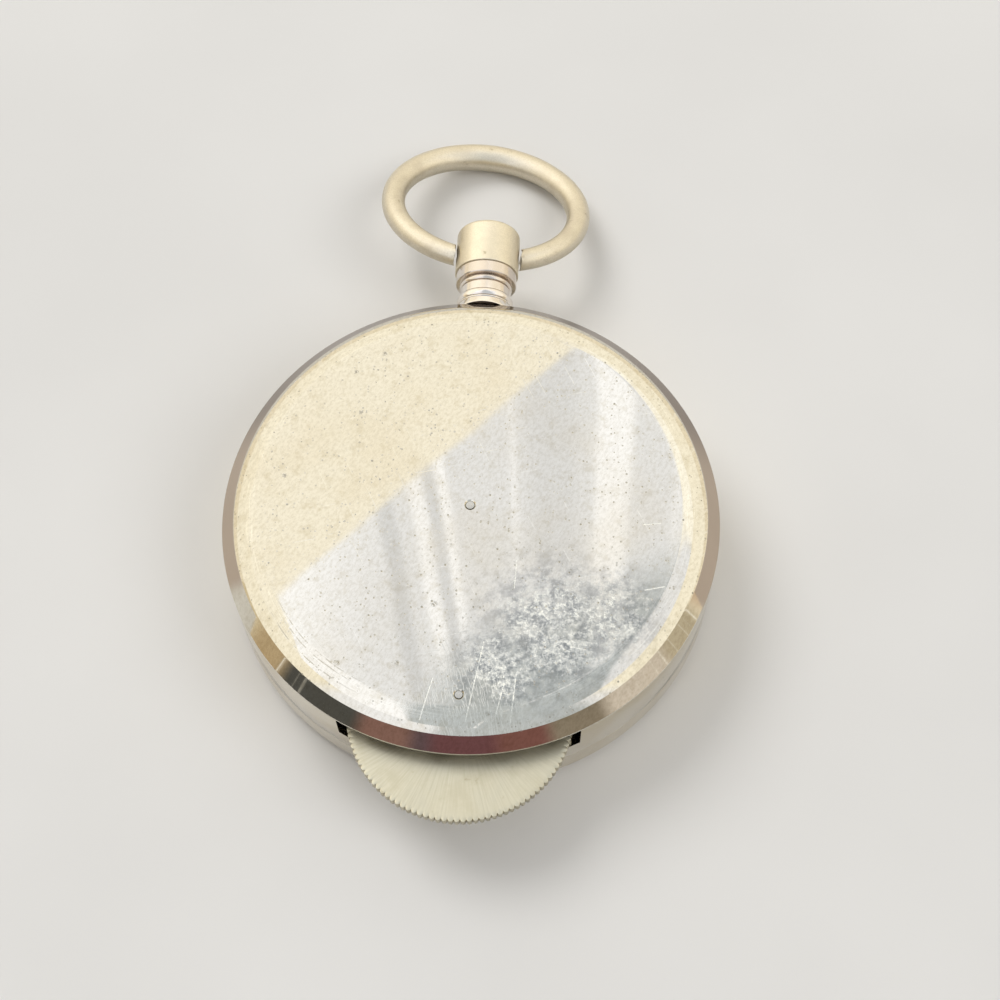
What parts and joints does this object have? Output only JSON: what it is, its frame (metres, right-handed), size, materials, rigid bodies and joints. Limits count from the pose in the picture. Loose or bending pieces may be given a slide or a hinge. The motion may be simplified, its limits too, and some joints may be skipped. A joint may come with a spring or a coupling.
{
  "type": "opisometer",
  "caption": "Pocket-watch shaped map measurer: a serrated tracing wheel in the case's edge turns a pointer over a dial through a gear train; a hinged bow hangs from the pendant.",
  "frame": {"origin": "centre of the whole outline's box, in the plane of the bezel's rim that the case lies on", "axes": "+Z out of the flat back along the case axis; +Y from the case to the pendant and bow, so the tracing wheel is at -Y; +X to the right as seen from the back with the pendant up"},
  "size_m": [0.045, 0.0754, 0.0122],
  "materials": {
    "polished_nickel": "polished, lightly scratched and tarnished",
    "turned_nickel": "turned and polished",
    "satin_nickel": "satin, warm toned",
    "gilt_brass": "fine brushed, gilt",
    "spring_bronze": "rolled",
    "steel": "turned and polished",
    "blued_steel": "heat blued, polished",
    "dial_white": "matte white lacquer with black print",
    "crystal_glass": "clear polished"
  },
  "bodies": {
    "case": {"rear_cover": "polished_nickel", "case_band": "polished_nickel", "front_bezel": "polished_nickel", "crystal": "crystal_glass", "front_plate": "gilt_brass", "plate_pillars": "gilt_brass", "plate_screws": "steel", "dial": "dial_white", "dial_screws": "steel", "centre_bush": "gilt_brass", "wheel_bush": "gilt_brass", "centre_washer": "spring_bronze", "pendant_neck": "turned_nickel", "pendant_cap": "satin_nickel", "pendant_screw": "steel"},
    "centre": {"centre_arbor": "steel", "centre_gear": "gilt_brass", "centre_gear_hub": "gilt_brass", "pointer": "blued_steel", "pointer_boss": "gilt_brass"},
    "wheel": {"wheel_arbor": "steel", "wheel_spacer": "gilt_brass", "drive_pinion": "steel", "tracing_wheel": "satin_nickel", "tracing_wheel_hub": "gilt_brass"},
    "bow": {"bow": "satin_nickel"}
  },
  "joints": [
    {"name": "centre_spin", "type": "hinge", "parent": "case", "child": "centre", "pos_m": [0, -0.0098, 0.006], "axis": [0, 0, 1], "continuous": true},
    {"name": "wheel_spin", "type": "hinge", "parent": "case", "child": "wheel", "pos_m": [0, -0.0277, 0.0077], "axis": [0, 0, 1], "continuous": true},
    {"name": "bow_swing", "type": "hinge", "parent": "case", "child": "bow", "pos_m": [0, 0.01963, 0.0076], "axis": [0.9942, 0, -0.108], "range_deg": [-110, 165]}
  ],
  "couplings": [
    {"joint": "centre_spin", "follows": "wheel_spin", "ratio": -0.0625}
  ]
}
